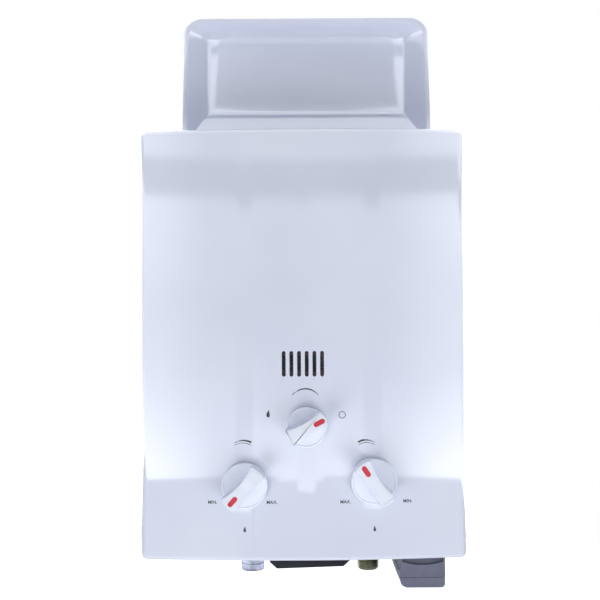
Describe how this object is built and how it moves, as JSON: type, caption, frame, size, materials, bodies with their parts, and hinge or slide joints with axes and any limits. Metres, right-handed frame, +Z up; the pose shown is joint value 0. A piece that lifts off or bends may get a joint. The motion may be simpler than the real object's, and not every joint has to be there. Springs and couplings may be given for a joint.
{
  "type": "portable propane tankless water heater",
  "caption": "Wall-hung portable gas water heater with a bowed enamelled cover, a rain hood over its flue, turning front controls and a battery box with a hinged door.",
  "frame": {"origin": "centre of the four wall holes, on the back plate's rear face", "axes": "+X to the right as seen from the front, +Y from the front to the wall, +Z up"},
  "size_m": [0.2994, 0.1516, 0.537],
  "materials": {
    "enamel": "gloss",
    "zinc_steel": "satin",
    "screw_steel": "gloss",
    "mesh_steel": "matt",
    "copper": "satin",
    "brass": "satin",
    "cast_aluminium": "cast",
    "steel": "satin",
    "white_plastic": "gloss",
    "red_mark": "gloss",
    "grey_plastic": "matt",
    "black_plastic": "matt",
    "ceramic": "gloss",
    "rubber": "matt",
    "cell_jacket": "gloss",
    "lead_sheath": "satin"
  },
  "bodies": {
    "case": {"back_frame": "zinc_steel", "front_cover": "enamel", "case_screws": "screw_steel", "window_mesh": "mesh_steel", "rain_hood": "enamel", "flue_collector": "zinc_steel", "flue_grille": "zinc_steel", "combustion_chamber": "copper", "exchanger_fins": "copper", "exchanger_tube": "copper", "cold_pipe": "copper", "hot_pipe": "copper", "overheat_thermostat": "black_plastic", "burner_blades": "steel", "burner_jets": "brass", "gas_manifold": "cast_aluminium", "burner_rack": "zinc_steel", "spark_electrode": "ceramic", "flame_sensor": "ceramic", "gas_valve_body": "cast_aluminium", "gas_inlet": "cast_aluminium", "gas_locknut": "zinc_steel", "solenoid_valve": "black_plastic", "water_valve_body": "brass", "water_valve_cup": "brass", "diaphragm": "rubber", "housing_bolts": "screw_steel", "inlet_strainer": "steel", "water_locknuts": "brass", "drain_plug": "brass", "hot_outlet": "brass", "micro_switch": "black_plastic", "switch_bracket": "zinc_steel", "igniter_box": "black_plastic", "battery_box": "grey_plastic", "battery_door_pin": "steel", "battery_cells": "cell_jacket", "battery_contacts": "steel", "battery_lead": "lead_sheath", "spark_lead": "lead_sheath", "sensor_lead": "lead_sheath"},
    "gas_control": {"gas_knob": "white_plastic", "gas_knob_mark": "red_mark", "gas_spindle": "brass"},
    "water_control": {"water_knob": "white_plastic", "water_knob_mark": "red_mark", "water_spindle": "brass"},
    "season_control": {"season_knob": "white_plastic", "season_knob_mark": "red_mark", "season_spindle": "brass"},
    "door": {"battery_door": "grey_plastic", "door_contact": "steel"},
    "linkage": {"push_rod": "steel"},
    "switch_plunger": {"switch_button": "red_mark"},
    "valve_plunger": {"solenoid_plunger": "steel"}
  },
  "joints": [
    {"name": "gas_turn", "type": "hinge", "parent": "case", "child": "gas_control", "pos_m": [-0.0526, -0.112, -0.1264], "axis": [0, 1, 0], "range_deg": [0, 270]},
    {"name": "water_turn", "type": "hinge", "parent": "case", "child": "water_control", "pos_m": [0.063, -0.112, -0.1233], "axis": [0, 1, 0], "range_deg": [-100, 170]},
    {"name": "season_turn", "type": "hinge", "parent": "case", "child": "season_control", "pos_m": [0.0026, -0.112, -0.0745], "axis": [0, 1, 0], "range_deg": [-125, 0]},
    {"name": "door_swing", "type": "hinge", "parent": "case", "child": "door", "pos_m": [0.1076, -0.0382, -0.2134], "axis": [1, 0, 0], "range_deg": [0, 100]},
    {"name": "rod_slide", "type": "slide", "parent": "case", "child": "linkage", "axis": [-1, 0, 0], "range_m": [0, 0.004], "stiffness_N_per_m": 400, "springref_m": -0.002},
    {"name": "button_slide", "type": "slide", "parent": "case", "child": "switch_plunger", "axis": [-1, 0, 0], "range_m": [0, 0.004]},
    {"name": "plunger_slide", "type": "slide", "parent": "case", "child": "valve_plunger", "axis": [-1, 0, 0], "range_m": [0, 0.0025], "stiffness_N_per_m": 200, "springref_m": -0.002}
  ],
  "couplings": [
    {"joint": "button_slide", "follows": "rod_slide", "ratio": 1}
  ]
}
